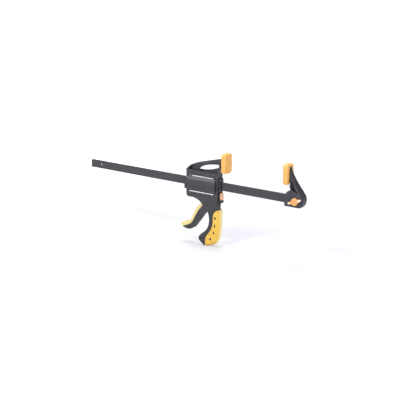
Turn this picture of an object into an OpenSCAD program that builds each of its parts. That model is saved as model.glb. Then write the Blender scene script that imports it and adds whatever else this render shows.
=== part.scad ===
// Quick release bar clamp, one-handed, with a removable fixed jaw.
// Row frame: millimetres, X along the bar towards the fixed jaw, Z up, Y across.
// Origin: centre of the fixed jaw's clamping face.

/* [Bar] */
// Length of the bar
bar_l = 615; // [480:5:900]
// Height of the bar
bar_h = 19; // [18:0.25:20]
// Thickness of the bar
bar_t = 5; // [4:0.25:6]
// Diameter of the hanging hole at the bar's free end
hang_hole_d = 6.5; // [4:0.5:8]
// Distance of the hanging hole from the bar's free end
hang_hole_in = 31; // [10:1:60]
// How far the bar reaches past the fixed jaw's clamping face
bar_past_face = 44; // [40:0.5:45]

/* [Jaws] */
// Opening between the two pads
opening = 153.5; // [60:0.5:250]
// Height of the clamping line above the bar's centreline
line_h = 56.5; // [54:0.5:62]
// Distance of the moving pad's face ahead of the housing's front
jaw_reach = 24; // [24:0.5:30]
// Width of a pad
pad_w = 29; // [22:0.5:31]
// Height of a pad
pad_h = 47; // [45:0.5:51]
// Thickness of a pad
pad_t = 12.5; // [11.5:0.5:14]
// Corner radius of a pad, seen from the front
pad_r = 7; // [1:0.5:8]
// Radius of a pad's top and bottom edges, in side view
pad_edge_r = 4; // [1:0.5:5]
// Width of the head that a pad slides on
head_w = 14; // [11:0.5:16]
// Height of the head that a pad slides on
head_h = 36; // [32:0.5:38]
// Thickness of the head that a pad slides on
head_t = 3.5; // [3:0.5:4.5]
// Depth of the pad's lip behind the head
lip_t = 2.5; // [2:0.25:3.5]
// Width of the stem that joins a head to its jaw
stem_w = 10; // [5:0.5:10.5]
// Length of that stem behind the pad
stem_l = 3.5; // [2:0.5:4.5]

/* [Moving jaw arm] */
// Width of the arm's rim
arm_w = 20; // [16:0.5:21]
// Thickness of the arm's rim in side view
arm_rim = 4.5; // [3:0.5:6]
// Thickness of the arm's web
arm_web = 6; // [4:0.5:9]

/* [Housing] */
// Length of the housing
body_l = 90; // [86:1:110]
// Width of the housing
body_w = 21; // [21:0.5:24]
// Height of the housing above the bar's centreline
body_top = 31; // [29:0.5:34]
// Depth of the housing below the bar's centreline
body_drop = 35.3; // [34:0.5:38]
// Width of the convex barrel around the mechanism
barrel_w = 28.4; // [28:0.2:32]
// Height of the convex barrel
barrel_h = 33; // [30:0.5:35]
// Depth of the barrel's middle below the bar's centreline
barrel_low = 1.8; // [1:0.2:3]
// Flat band in front of the barrel
barrel_front = 6; // [5:0.5:10]
// Flat band behind the barrel
barrel_back = 1.5; // [1:0.5:4]
// Wall at the housing's front
end_wall = 2.5; // [2:0.25:3]

/* [Handle] */
// Depth of the handle's foot below the bar's centreline
handle_drop = 150; // [146:1:158]
// Width of the handle's black back strip
handle_w = 20.4; // [19.6:0.2:20.8]
// Width of the handle's soft grip
grip_w = 26; // [24:0.5:30]
// Width of the handle's core under the grip
core_w = 18; // [16:0.5:19]
// Thickness of the grip over the core's front
grip_skin = 3.6; // [2:0.2:4.4]
// Side wall of the hollow handle
handle_wall = 2.5; // [1.5:0.25:3.5]
// Length of an oval hole in the grip
oval_l = 7; // [5:0.5:9]
// Width of an oval hole in the grip
oval_w = 3.6; // [2:0.2:5]

/* [Squeeze lever] */
// Width of the lever
lever_w = 12; // [10:0.5:13]
// How far the lever's soft strip stands out on each side
strip_proud = 0.5; // [0.2:0.1:0.8]
// Distance of the lever's pivot behind the housing's front
pivot_x = 30; // [29:0.5:31]
// Depth of the lever's pivot below the bar's centreline
pivot_z = 42; // [41:0.5:43]
// Diameter of the lever's pivot pin
pivot_d = 6; // [4:0.5:7]
// Radius of the lever's boss
lever_boss_r = 8; // [6.5:0.25:8.5]
// Radius of the nose that pushes the drive plates
nose_r = 5; // [4:0.25:5]

/* [Plates and springs] */
// Thickness of a drive plate
drive_t = 3; // [2:0.25:4]
// Thickness of the brake plate
brake_t = 3.2; // [2:0.2:3.6]
// Width of the steel plates
plate_w = 15; // [12:0.5:15.5]
// Reach of the drive plates below the bar's centreline
drive_drop = 24; // [23:0.25:24.5]
// Reach of the brake plate below the bar's centreline
brake_drop = 27; // [26:0.5:28]
// Tilt of the brake plate as it holds the bar, in degrees
brake_tilt = 6; // [4:0.5:7]
// Distance of the brake plate's pivot behind the housing's front
brake_x = 10; // [9.5:0.25:10.5]
// Height of the brake plate's pivot above the bar's centreline
brake_z = 20; // [19.5:0.25:20.5]
// Wire of the drive spring
drive_wire = 1.6; // [1:0.1:1.8]
// Outer radius of the drive spring
drive_spring_r = 11.9; // [11.6:0.1:12]
// Turns of the drive spring
drive_turns = 7; // [5:1:9]
// Wire of the brake spring
brake_wire = 0.9; // [0.6:0.1:1.1]
// Outer radius of the brake spring
brake_spring_r = 3.6; // [3:0.1:4]
// Depth of the brake spring's axis below the bar's centreline
brake_spring_z = 18.5; // [18:0.25:19]
// Turns of the brake spring
brake_turns = 5; // [4:1:6]

/* [Release lever] */
// Width of the release lever
release_w = 12; // [10:0.5:13]
// Distance of the release lever's pivot behind the housing's front
release_x = 4; // [3.5:0.25:5]
// Depth of the release lever's pivot below the bar's centreline
release_z = 41; // [40.5:0.25:42]
// Diameter of the release lever's pin
release_d = 3; // [2:0.5:4]
// How far the release lever stands out of the housing
release_out = 6.8; // [6:0.2:8]
// Thickness of the release lever's thumb pad
release_skin = 2.2; // [1.6:0.1:2.6]

/* [Fixed jaw] */
// Width of the fixed jaw around the bar
base_w = 20; // [18:0.5:24]
// Radius of the boss around the lock pin
boss_r = 17.5; // [15:0.5:18]
// Depth of the fixed jaw's flat underside below the bar's centreline
base_drop = 15; // [13:0.5:17]
// Width of the fixed jaw's rim
jaw_rim_w = 12; // [10:0.5:15]
// Thickness of the fixed jaw's rim in side view
jaw_rim = 4.5; // [3:0.5:6]
// Thickness of the fixed jaw's web
jaw_web = 5; // [4:0.5:8]

/* [Lock knob] */
// Distance of the lock pin behind the clamping face
lock_x = 31.6; // [29:0.2:33]
// Depth of the lock pin below the bar's centreline
lock_low = 1.2; // [0:0.2:2]
// Diameter of the lock pin
lock_d = 6; // [4:0.5:8]
// Radius of the knob's round middle
knob_r = 8.2; // [7:0.2:10]
// Height of the knob's middle above the jaw's side
knob_h = 5.5; // [4:0.5:7]
// How far the wings stand above the knob's middle
wing_rise = 2; // [0.5:0.5:3]
// Span of the knob's two wings
wing_span = 31; // [24:0.5:36]
// Width of a wing
wing_w = 5; // [3:0.5:7]
// Angle of the wings from the bar, in degrees
wing_angle = 19; // [0:1:30]

/* [Bar guides] */
// Length of the rear guide inside the housing
rear_guide_l = 14.5; // [13:0.5:16]
// Diameter of the pegs that hold the rear guide in the shells
peg_d = 5.4; // [3:0.2:6]
// Width of a guide
guide_w = 15; // [12:0.5:17]
// Reach of the rear guide behind the housing
rear_guide_out = 8; // [2:0.5:9]
// Reach of the front guide ahead of the housing
front_guide_out = 4.5; // [3:0.5:8]
// Height of a guide above the bar's edge
guide_top = 6; // [3:0.5:7]
// Depth of the rear guide's saddle below the bar's edge
saddle_drop = 8.5; // [4:0.5:10]
// Depth of the front guide below the bar's edge
front_drop = 3; // [2:0.25:3.5]

/* [Screws] */
// Diameter of the screws' shanks
screw_d = 3; // [2:0.5:3.5]
// Diameter of the screws' heads
screw_head_d = 5.6; // [4.5:0.2:6.5]
// Height of the screws' heads
screw_head_h = 2.2; // [1.5:0.1:3]
// Reach of the screws past the joint of the two halves
screw_reach = 7; // [4:0.5:8]

/* [Fits] */
// Play between the bar and its guides, on each side
slide_fit = 0.15; // [0.1:0.05:0.2]
// Play between the bar and the slots of the steel plates, on each side
plate_fit = 0.3; // [0.25:0.05:0.4]
// Radial play of a pin in the piece that turns on it
pin_fit = 0.05; // [0.02:0.01:0.1]
// Gap between moving pieces that pass or push each other
gap = 0.3; // [0.3:0.05:0.5]
// Side play of the levers in the housing, on each side
side_fit = 0.5; // [0.4:0.1:0.8]

/* [Hidden] */
$fn = 72;
wide = 60;            // wider than anything, for cuts that go right through
near = -1;            // the side of the wing knob
far = 1;

bar_end_r = 1.5;      // corners of the bar
bar_end = bar_past_face;
bar_start = bar_end - bar_l;
hang_hole_x = bar_start + hang_hole_in;

pad_back = jaw_reach - pad_t;              // back of the moving pad, from the housing's front
head_x = lip_t;                            // back of the head, from the back of the pad
housing_x = -opening - jaw_reach;          // the housing's front in the row frame

barrel_step = 0.8;                         // the barrel's edges stand this far off the sides
barrel_sag = (barrel_w - body_w) / 2 - barrel_step;
barrel_r = ((barrel_h / 2) ^ 2 + barrel_sag ^ 2) / (2 * barrel_sag);
barrel_x0 = -body_l + barrel_back;
barrel_x1 = -barrel_front;
chamber_x0 = -body_l + rear_guide_l;       // rear end of the spring chamber
chamber_r = drive_spring_r + gap;
chamber_top = 22.5;
chamber_drop = 28.5;
flange_t = 2;

nose_x = -pivot_x + 5;                     // centre of the lever's nose
nose_z = -pivot_z + 24;
drive_face = nose_x - nose_r - gap;        // front of the front drive plate
drive_back = drive_face - 2 * drive_t;     // back of the rear drive plate
spring_seat_x = chamber_x0 + flange_t;
brake_reach = brake_z + brake_drop;        // length of the brake plate under its pivot
rib_x = -brake_x - 7.6;                    // rib that carries the brake spring
rib_t = 1.6;
rib_top = -12;
block_z = 15.2;                            // underside of the block at the chamber's front
// Where the tilted brake plate's front face is at a depth z under the bar's centreline.
function brake_front(z) = -brake_x + (brake_z + z) * tan(brake_tilt)
                          + brake_t / 2 / cos(brake_tilt);

// ---------- outlines in side view, [x, z] ----------

// A smooth curve through points: a Catmull-Rom spline with n steps between neighbours.
function spline(p, n = 6) = [
    for (i = [0 : len(p) - 2], k = [0 : n - 1])
        let (a = p[max(i - 1, 0)], b = p[i], c = p[i + 1], d = p[min(i + 2, len(p) - 1)],
             t = k / n)
        0.5 * (2 * b + (c - a) * t + (2 * a - 5 * b + 4 * c - d) * t ^ 2
               + (3 * b - a - 3 * c + d) * t ^ 3),
    p[len(p) - 1]];

// The handle's own measure: 0 at its neck, 1 at its foot.
neck_z = -57;
function down(s) = neck_z - s * (handle_drop + neck_z);

// Front of the grip, from its top to the foot.
grip_front = spline([[-0.6, neck_z - 1], [2.6, down(0.04)], [4.1, down(0.13)], [4.2, down(0.25)],
                     [3.8, down(0.39)], [2.2, down(0.575)], [-0.4, down(0.74)],
                     [-5, down(0.86)], [-14, down(0.94)], [-27, down(0.99)], [-35, down(1)]]);
// Seam between the grip and the black back strip, from the foot to the top.
grip_seam = spline([[-35, down(0.94)], [-34.5, down(0.8)], [-30.8, down(0.7)],
                    [-22.3, down(0.59)], [-16.6, down(0.47)], [-13.5, down(0.36)],
                    [-13.1, down(0.24)], [-12.4, down(0.14)], [-8.6, down(0.065)],
                    [-3.5, neck_z - 1]]);
grip_outline = concat(grip_front, grip_seam);
grip_x = 4.3;                              // the grip's foremost place
stud_sink = 0.8;                           // how deep the core's studs sit under the grip's face

// Front of the core under the grip, one skin behind the grip's front.
core_front = spline([[0.4 - grip_skin, down(0.05)], [4.1 - grip_skin, down(0.2)],
                     [3.7 - grip_skin, down(0.39)], [2 - grip_skin, down(0.575)],
                     [-0.8 - grip_skin, down(0.73)], [-6 - grip_skin, down(0.83)],
                     [-15 - grip_skin, down(0.96) + grip_skin],
                     [-31.5, down(1) + grip_skin]]);
// Back of the handle, from its foot to the fork with the lever.
handle_back = spline([[-36, down(0.985)], [-43.8, down(0.945)], [-50.8, down(0.89)],
                      [-55, down(0.82)], [-50.8, down(0.73)], [-43, down(0.66)],
                      [-36.7, down(0.605)], [-30.7, down(0.53)], [-26.1, down(0.43)],
                      [-24.2, down(0.295)], [-25.6, down(0.17)], [-28.4, down(0.085)]]);
handle_front = -2;                         // front of the handle's core under the neck
handle_outline = concat([[handle_front, neck_z + 6], [handle_front, neck_z - 1.5]], core_front, handle_back,
                        [[-30, neck_z + 6]]);
// Hollow inside the handle, between its front and the screw bosses.
handle_room = spline([[-14, down(0.1)], [-9, down(0.08)], [-6, down(0.11)], [-3.6, down(0.25)],
                      [-3.8, down(0.45)], [-6.6, down(0.64)], [-14, down(0.79)],
                      [-25, down(0.87)], [-33, down(0.86)], [-29, down(0.77)], [-20, down(0.6)],
                      [-15, down(0.47)], [-13.8, down(0.3)]], 3);

// Underside of the housing, from the fork with the lever to its rear.
fork = [-31.5, down(0.028)];
belly = spline([fork, [-38, -54.5], [-45, -48], [-53.2, -40.9],
                [-body_l + 25.6, -body_drop - 1.4], [-body_l + 15, -body_drop],
                [-body_l + 6, -body_drop], [-body_l + 1.6, -body_drop + 1.6],
                [-body_l, -body_drop + 6]]);
neck_front = 0.2;                          // front of the neck above the grip
neck_top = -release_z - release_d / 2 - 0.8; // the rounded neck begins below the release pin
housing_outline = concat([[neck_front, neck_top], [neck_front, neck_z]], belly,
                         [[-body_l, body_top], [0, body_top], [0, neck_top]]);

// Top edge of the moving jaw's arm, lowered by d.
arm_front = pad_back - stem_l;
arm_high = line_h + 9.5;
function arm_top(d) = spline([[-body_l + d * 1.4, body_top + 1], [-body_l + 4.4 + d, 35.9 - d * 0.2],
                              [-body_l + 12.8 + d * 0.3, 42.7 - d * 0.6],
                              [-body_l + 20, 45.9 - d * 0.75], [-body_l + 29.6, 48.8 - d * 0.85],
                              [-body_l + 54.6, 55.1 - d], [-10.8, 61.2 - d * 1.2],
                              [arm_front - d, arm_high - d * 1.5]]);
arm_outline = concat([[-body_l, body_top - 5]], arm_top(0),
                     [[arm_front, 45], [arm_front - 1.5, 39.5], [arm_front - 5, 35.8],
                     [1, 33.2], [0, 30], [0, body_top - 8]]);
arm_recess = concat([[-body_l + 1.8 * arm_rim, body_top - 1]], arm_top(arm_rim),
                    [[arm_front - arm_rim, 42], [0, 36.5], [-3.5, body_top]]);
// Lens-shaped window in the arm's web.
window_top = spline([[-60, 33.6], [-50.5, 40], [-37.7, 45.2], [-20.5, 48.8], [-4.5, 50.2],
                     [1.6, 49.4]]);
window_low = spline([[0.4, 45.6], [-9.5, 41.2], [-28, 35.8], [-48, 32.6]]);
window = concat(window_top, window_low);

// Squeeze lever: seam between its black core and the soft strip, from the top to the hook.
lever_seam = spline([[-38, -47], [-44.6, -52], [-51.6, -60], [-57.9, -67.5], [-62.7, -75],
                     [-67.8, -83], [-71.9, -91], [-76.4, -99], [-82.4, -104.8], [-92, -109.2],
                     [-103.8, -112.4]]);
lever_inner = spline([[-103.8, -114.4], [-95.5, -117], [-86, -117.5], [-76, -113.9],
                      [-69.8, -108.4], [-65.8, -103.3], [-59, -94.6], [-51.6, -84.7],
                      [-41.4, -71.9], [-35.6, -64], [-30.5, -55.5]]);
// Outer edge of the soft strip, from the hook to the top, with shallow finger grooves.
lever_outer = spline([[-103.8, -114.4], [-108.8, -111.6], [-110, -107.4], [-103, -101.6],
                      [-92.5, -98.8], [-83.6, -94.6], [-79, -88.2], [-75, -79.4],
                      [-70.6, -70], [-66.6, -63.4], [-61.8, -57], [-56, -52], [-49.5, -49.2],
                      [-43.5, -48]]);

// Release lever, seen from the side, about the housing's front.
release_back = brake_front(brake_drop) + gap;
release_core = release_out - release_skin; // front of the lever under its thumb pad
release_top = -15.9;                       // the thumb pad's top
release_low = -33.6;                       // where the thumb pad ends, above the lever's lip
thumb_r = 4;                               // corners of the thumb pad, seen from the front
release_seam = spline([[1.2, release_top], [release_core - 0.6, -17.6], [release_core, -22],
                       [release_core - 0.1, -28], [release_core - 0.6, release_low]]);
release_outline = concat(spline([[-release_x - 3.5, -release_z], [release_back, -31],
                                 [release_back, -23.5], [release_back + 1.6, -17.6],
                                 [1.2, release_top]]),
                         release_seam,
                         spline([[release_out - 1, release_low], [release_out - 0.6, -36.5],
                                 [release_out - 1.2, -39.5], [release_out - 4.4, -41.8],
                                 [-release_x + 3.5, -release_z]]));
release_thumb = concat(spline([[1.2, release_top], [release_out - 2, -16.3], [release_out - 0.5, -19],
                               [release_out, -24], [release_out - 0.2, -30],
                               [release_out - 0.7, release_low]]),
                       [for (i = [len(release_seam) - 1 : -1 : 1]) release_seam[i]]);

// Fixed jaw's rim and web, seen from the side, from the clamping face.
jaw_front = pad_t + stem_l;
tip_z = line_h + 4.8;
jaw_back = spline([[jaw_front + 0.3, tip_z], [19.4, line_h - 1.5], [25.5, 44.4], [31.6, 33.8],
                   [37.9, 24.3], [42.2, 18.5], [48.6, 9.3], [50.7, 1], [49.5, -6],
                   [46.4, -11.3], [43.8, -base_drop]]);
jaw_outline = concat(jaw_back, [[lock_x, -base_drop], [19.5, 12], [18.8, 23],
                                [jaw_front - 1.5, 31], [jaw_front, 37]]);
jaw_slant = 1.22 * jaw_rim;                // the sloping rim's thickness along X
jaw_inner = [[jaw_front + 2.5, 45], [jaw_front + 2.5, 38], [jaw_front + 3.2, 31],
             [22.5, 20], [42.5 - jaw_slant, 17], [41 - jaw_slant, 20],
             [31.6 - jaw_slant, 33.8], [25.3 - jaw_slant, 44.4]];
// The stem of the fixed jaw's head, which goes on up the slope of the jaw's back.
jaw_stem = [[pad_t - 1, line_h - head_h / 2], [jaw_front + 3, line_h - head_h / 2],
            [19, line_h - 1], [jaw_front + 0.6, tip_z - 1], [14.6, line_h + 8.5],
            [pad_t, line_h + 15], [pad_t - 1, line_h + 15]];
// Seen from behind, [y, z]: the rim is narrow at the tip and at the foot.
jaw_half = [[stem_w / 2 + 0.5, tip_z + 1], [stem_w / 2 + 0.5, line_h - 1],
            [jaw_rim_w / 2, line_h - 12], [base_w / 2 - 2, 34], [base_w / 2 - 0.3, 24],
            [base_w / 2, 20], [base_w / 2, 12], [base_w / 2 - 1.3, 1],
            [jaw_rim_w / 2 + 0.5, -10], [jaw_rim_w / 2 + 0.5, -base_drop - 1]];
jaw_taper = concat(jaw_half, [for (i = [len(jaw_half) - 1 : -1 : 0])
                              [-jaw_half[i][0], jaw_half[i][1]]]);
// Shoulder around the bar, from the clamping side to the boss.
shoulder = concat(spline([[3.5, 5], [5, 10.5], [7.4, 14.8], [9.8, 18], [13.5, 20.8], [20, 21.4],
                          [27, 20.9], [33.3, 18.6], [37, 16]]),
                  [[37, -base_drop], [3.5, -base_drop]]);

// ---------- helpers ----------

// The bar's frame: Z = 0 on the bar's centreline, X from the fixed jaw's clamping face.
module on_bar() translate([0, 0, -line_h]) children();

// The housing's frame: X = 0 on the housing's front, Z = 0 on the bar's centreline.
module on_housing() translate([housing_x, 0, -line_h]) children();

// Extrudes a side view across Y, centred.
module across(w) rotate([90, 0, 0]) linear_extrude(w, center = true) children();

// Extrudes a side view between two Y places.
module between(y0, y1) translate([0, y1, 0]) rotate([90, 0, 0]) linear_extrude(y1 - y0) children();

module box(x0, x1, y0, y1, z0, z1)
    translate([x0, y0, z0]) cube([x1 - x0, y1 - y0, z1 - z0]);

// A round bar across Y, centred, at x and z.
module rod(x, z, r, w) translate([x, 0, z]) rotate([90, 0, 0]) cylinder(h = w, r = r, center = true);

// The half of its children on one side of the joint.
module half(side) intersection() {
    children();
    box(-400, 400, side < 0 ? -wide : 0, side < 0 ? 0 : wide, -400, 400);
}

// A rounded rectangle, centred.
module round_rect(a, b, r) union() {
    square([a - 2 * r, b], center = true);
    square([a, b - 2 * r], center = true);
    for (i = [-1, 1], j = [-1, 1]) translate([i * (a / 2 - r), j * (b / 2 - r)]) circle(r);
}

// A compression spring along X from 0 to l, its end turns close together.
spring_steps = 14;
wire_sides = 6;
module spring(l, r, wire, turns) {
    n = turns * spring_steps;
    closed = wire * 1.15;
    open_pitch = (l - wire - 2 * closed) / (turns - 2);
    function along(t) = wire / 2 + (t < 1 ? closed * t
                        : t > turns - 1 ? l - wire - closed * (turns - t)
                        : closed + open_pitch * (t - 1));
    points = [for (i = [0 : n], k = [0 : wire_sides - 1])
        let (a = 360 * i / spring_steps, b = 360 * k / wire_sides,
             q = r - wire / 2 + wire / 2 * cos(b))
        [along(i / spring_steps) + wire / 2 * sin(b), q * cos(a), q * sin(a)]];
    sides = [for (i = [0 : n - 1], k = [0 : wire_sides - 1])
        let (a = i * wire_sides + k, b = i * wire_sides + (k + 1) % wire_sides)
        [a, b, b + wire_sides, a + wire_sides]];
    ends = [[for (k = [wire_sides - 1 : -1 : 0]) k],
            [for (k = [0 : wire_sides - 1]) n * wire_sides + k]];
    polyhedron(points, concat(sides, ends));
}

// A pad with its face at x = 0, its body towards -X, and a slot for the head.
module pad() difference() {
    intersection() {
        rotate([90, 0, 90]) translate([0, 0, -pad_t]) linear_extrude(pad_t)
            round_rect(pad_w, pad_h, pad_r);
        translate([-pad_t / 2, 0, 0]) across(pad_w) round_rect(pad_t, pad_h, pad_edge_r);
    }
    box(-pad_t + head_x, -pad_t + head_x + head_t, -head_w / 2, head_w / 2,
        -pad_h / 2 - 1, head_h / 2);
    box(-pad_t - 1, -pad_t + head_x, -stem_w / 2, stem_w / 2, -pad_h / 2 - 1, head_h / 2);
}

// The head inside a pad, behind the same face, and its stem of length l up to a height z.
module pad_head(l, z) {
    box(-pad_t + head_x, -pad_t + head_x + head_t, -head_w / 2, head_w / 2,
        -head_h / 2, head_h / 2);
    box(-pad_t - l, -pad_t + head_x + head_t, -stem_w / 2, stem_w / 2, -head_h / 2, z);
}

// ---------- held by the bar ----------

module bar() color([0.35, 0.345, 0.365]) on_bar() difference() {
    across(bar_t) translate([(bar_start + bar_end) / 2, 0]) round_rect(bar_l, bar_h, bar_end_r);
    rod(hang_hole_x, 0, hang_hole_d / 2, wide);
    rod(lock_x, -lock_low, lock_d / 2 + pin_fit, wide);
}

module fixed_jaw() color([0.27, 0.27, 0.29]) on_bar() difference() {
    union() {
        intersection() {
            rod(lock_x, -lock_low, boss_r, base_w);
            box(0, 60, -wide, wide, -base_drop, 60);
        }
        across(base_w) polygon(shoulder);
        intersection() {
            difference() {
                across(base_w) polygon(jaw_outline);
                for (s = [near, far])
                    between(s < 0 ? -wide : jaw_web / 2, s < 0 ? -jaw_web / 2 : wide)
                        polygon(jaw_inner);
            }
            rotate([90, 0, 90]) linear_extrude(wide) polygon(jaw_taper);
        }
        across(stem_w) polygon(jaw_stem);
        translate([0, 0, line_h]) mirror([1, 0, 0]) pad_head(0, head_h / 2);
    }
    box(-1, bar_end, -bar_t / 2, bar_t / 2, -bar_h / 2, bar_h / 2);
    rod(lock_x, -lock_low, lock_d / 2 + pin_fit, wide);
}

module fixed_pad() color([0.95, 0.62, 0.25]) mirror([1, 0, 0]) pad();

// ---------- lock of the fixed jaw ----------

knob_y = -base_w / 2 - gap;
module lock_knob() color([0.96, 0.62, 0.26]) on_bar() difference() {
    translate([lock_x, knob_y, -lock_low]) rotate([90, 0, 0]) {
        cylinder(h = knob_h, r = knob_r);
        linear_extrude(knob_h + wing_rise) difference() {
            rotate(wing_angle) round_rect(wing_span, wing_w, wing_w / 2 - 0.2);
            circle(knob_r - 2);
        }
    }
    rod(lock_x, -lock_low, lock_d / 2, 2 * (-knob_y + knob_h - 2));
}

ring_t = 1;
module lock_pin() color([0.6, 0.6, 0.62]) on_bar()
    translate([lock_x, 0, -lock_low]) rotate([90, 0, 0])
        translate([0, 0, -base_w / 2 - gap - ring_t - 1])
            cylinder(h = base_w + 2 * gap + ring_t + 1 + knob_h - 2, r = lock_d / 2);

module lock_ring() color([0.5, 0.5, 0.52]) on_bar() difference() {
    translate([lock_x, base_w / 2 + gap + ring_t, -lock_low]) rotate([90, 0, 0])
        cylinder(h = ring_t, r = lock_d / 2 + 2);
    rod(lock_x, -lock_low, lock_d / 2, wide);
    box(lock_x - 1.2, lock_x + 1.2, 0, wide, -wide, -lock_low);
}

// ---------- carriage: the two shells ----------

// Places of the screws that join the shells, [x, z] in the housing's frame.
screw_places = [[-body_l + 6, 24.5], [-body_l + 6, -27], [-5.1, 18.4], [-12, -52.5],
                [-19.5, down(0.42)], [-45, down(0.83)]];

// Everything behind x, with its front rounded across the width w.
module rounded_front(x, w) translate([x - w / 2, 0, -3 * wide]) linear_extrude(6 * wide) {
    circle(w / 2);
    translate([-2 * wide, -w / 2]) square([2 * wide, w]);
}

// The wide cylinder whose cap is the barrel's face on one side.
module barrel_cylinder(side)
    translate([barrel_x0, side * (barrel_w / 2 - barrel_r), -barrel_low]) rotate([0, 90, 0])
        cylinder(h = barrel_x1 - barrel_x0, r = barrel_r);

// The grip's ovals, cut or filled across a width w.
grip_ovals = [[-5.6, down(0.215)], [-6.6, down(0.412)], [-9.6, down(0.597)], [-19.4, down(0.78)]];
oval_lean = [0, 0, -8, -35];
module ovals(w) for (i = [0 : len(grip_ovals) - 1])
    across(w) translate(grip_ovals[i]) rotate(oval_lean[i])
        round_rect(oval_w, oval_l, oval_w / 2 - 0.05);

// Outer form of housing, arm and handle, both halves together.
module shells_outer() {
    intersection() {
        across(body_w) polygon(housing_outline);
        union() {
            box(-wide * 2, wide, -wide, wide, neck_top, wide);
            rounded_front(neck_front, body_w);
        }
    }
    difference() {
        intersection() {
            across(handle_w) polygon(handle_outline);
            union() {
                rounded_front(handle_front, handle_w);
                box(-wide * 2, wide, -wide, wide, -3 * wide, neck_z - 1);
            }
        }
        for (s = [near, far])
            between(s < 0 ? -wide : core_w / 2, s < 0 ? -core_w / 2 : wide)
                polygon(grip_outline);
    }
    // studs that fill the grip's ovals up to a little under its face
    intersection() {
        ovals(grip_w);
        rounded_front(grip_x - stud_sink, grip_w - 2 * stud_sink);
        box(-wide, grip_x, stud_sink - grip_w / 2, grip_w / 2 - stud_sink, -3 * wide, 0);
    }
    // the convex barrel: what two wide cylinders share
    intersection() {
        barrel_cylinder(near);
        barrel_cylinder(far);
        box(barrel_x0, barrel_x1, -wide, wide, -barrel_low - barrel_h / 2,
            -barrel_low + barrel_h / 2);
    }
    difference() {
        across(arm_w) polygon(arm_outline);
        for (s = [near, far])
            between(s < 0 ? -wide : arm_web / 2, s < 0 ? -arm_web / 2 : wide)
                polygon(arm_recess);
        across(wide) polygon(window);
    }
    translate([jaw_reach, 0, line_h]) pad_head(stem_l + 1, arm_high - line_h - 1);
}

// Room inside the shells for the mechanism, both halves together.
slot_w = lever_w + 2 * strip_proud + 2 * side_fit;
pocket_w = release_w + 2 * side_fit;
module shells_inner() {
    // chamber of the steel plates, and the round chamber of the drive spring
    box(drive_back - 12, -end_wall, -plate_w / 2 - side_fit, plate_w / 2 + side_fit,
        -chamber_drop, chamber_top);
    translate([chamber_x0, 0, 0]) rotate([0, 90, 0])
        cylinder(h = drive_back + 2 - chamber_x0, r = chamber_r);
    // slot of the squeeze lever, open to the rear and below
    across(slot_w) polygon([[-pivot_x - 14, -chamber_drop + 1], [rib_x - rib_t, -chamber_drop + 1],
                            [rib_x - rib_t - 1.2, -46], [-21.3, -64], [-22.6, -74], [-27, -86],
                            [-60, -86], [-60, -56], [-44, -46.5]]);
    // pocket of the release lever, open to the front
    across(pocket_w) polygon([[-release_x - 5.2, -chamber_drop + 1], [-release_x - 5.2, -release_z - 5],
                              [-release_x + 2, -release_z - 5], [5, -release_z + 1.5],
                              [5, -14.3], [-end_wall - 1, -14.3], [-end_wall - 1, -chamber_drop + 1]]);
    across(core_w - 2 * handle_wall) polygon(handle_room);
    rear_guide_room();
    front_guide_room();
    rod(-pivot_x, -pivot_z, pivot_d / 2, pin_l(handle_w));
    rod(-release_x, -release_z, release_d / 2, pin_l(handle_w));
}

// Length of a pin that ends inside both shells.
pin_wall = 1.5;
function pin_l(w) = w - 2 * pin_wall;

// Ribs inside the chamber: one carries the brake spring, one and the front block hold the
// brake plate's top.
module shells_ribs() {
    box(rib_x - rib_t, rib_x, -plate_w / 2 - 1, plate_w / 2 + 1, -chamber_drop - 1, rib_top);
    translate([-brake_x - brake_t / 2 - gap, 0, 0])
        box(-2.5, 0, -plate_w / 2 - 1, plate_w / 2 + 1, chamber_top - 4.5, chamber_top + 1);
    box(brake_front(-block_z) + gap, -end_wall, -plate_w / 2 - 1, plate_w / 2 + 1,
        block_z, chamber_top + 1);
}

module screw_holes(side) for (p = screw_places) {
    if (side == near) {
        rod(p[0], p[1], screw_d / 2, wide);
        translate([p[0], -shell_y(p) - 1, p[1]]) rotate([-90, 0, 0])
            cylinder(h = screw_sink + 1, r = screw_head_d / 2);
    } else translate([p[0], -1, p[1]]) rotate([-90, 0, 0])
        cylinder(h = 1 + screw_reach, r = screw_d / 2);
}

// Outer face of the near shell at a screw, and how deep the head sits under it.
screw_sink = 2.3;
function shell_y(p) = p[1] < neck_z ? handle_w / 2 : body_w / 2;

module shell(side) on_housing() difference() {
    half(side) difference() {
        shells_outer();
        difference() {
            shells_inner();
            shells_ribs();
        }
    }
    screw_holes(side);
}

module shell_near() color([0.29, 0.29, 0.31]) shell(near);
module shell_far() color([0.29, 0.29, 0.31]) shell(far);

module shell_screws() color([0.45, 0.45, 0.46]) on_housing() for (p = screw_places)
    translate([p[0], -shell_y(p) + screw_sink, p[1]]) rotate([-90, 0, 0]) {
        translate([0, 0, -0.5])
            cylinder(h = shell_y(p) - screw_sink + screw_reach + 0.5, r = screw_d / 2);
        translate([0, 0, -screw_head_h]) difference() {
            cylinder(h = screw_head_h, r = screw_head_d / 2);
            for (a = [0, 90]) rotate(a)
                translate([-screw_head_d / 3, -0.4, -1]) cube([screw_head_d / 1.5, 0.8, 2]);
        }
    }

// ---------- carriage: grip, pad, guides, pins, springs ----------

module grip(side) on_housing() half(side) difference() {
    intersection() {
        across(grip_w) polygon(grip_outline);
        rounded_front(grip_x, grip_w);
    }
    across(core_w) polygon(handle_outline);
    ovals(wide);
}

module grip_near() color([1, 0.82, 0.35]) grip(near);
module grip_far() color([1, 0.82, 0.35]) grip(far);

module moving_pad() color([0.98, 0.7, 0.35]) translate([-opening, 0, 0]) pad();

// Bar's window through a guide or a plate.
module bar_window(x0, x1, fit)
    box(x0, x1, -bar_t / 2 - fit, bar_t / 2 + fit, -bar_h / 2 - fit, bar_h / 2 + fit);

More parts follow.
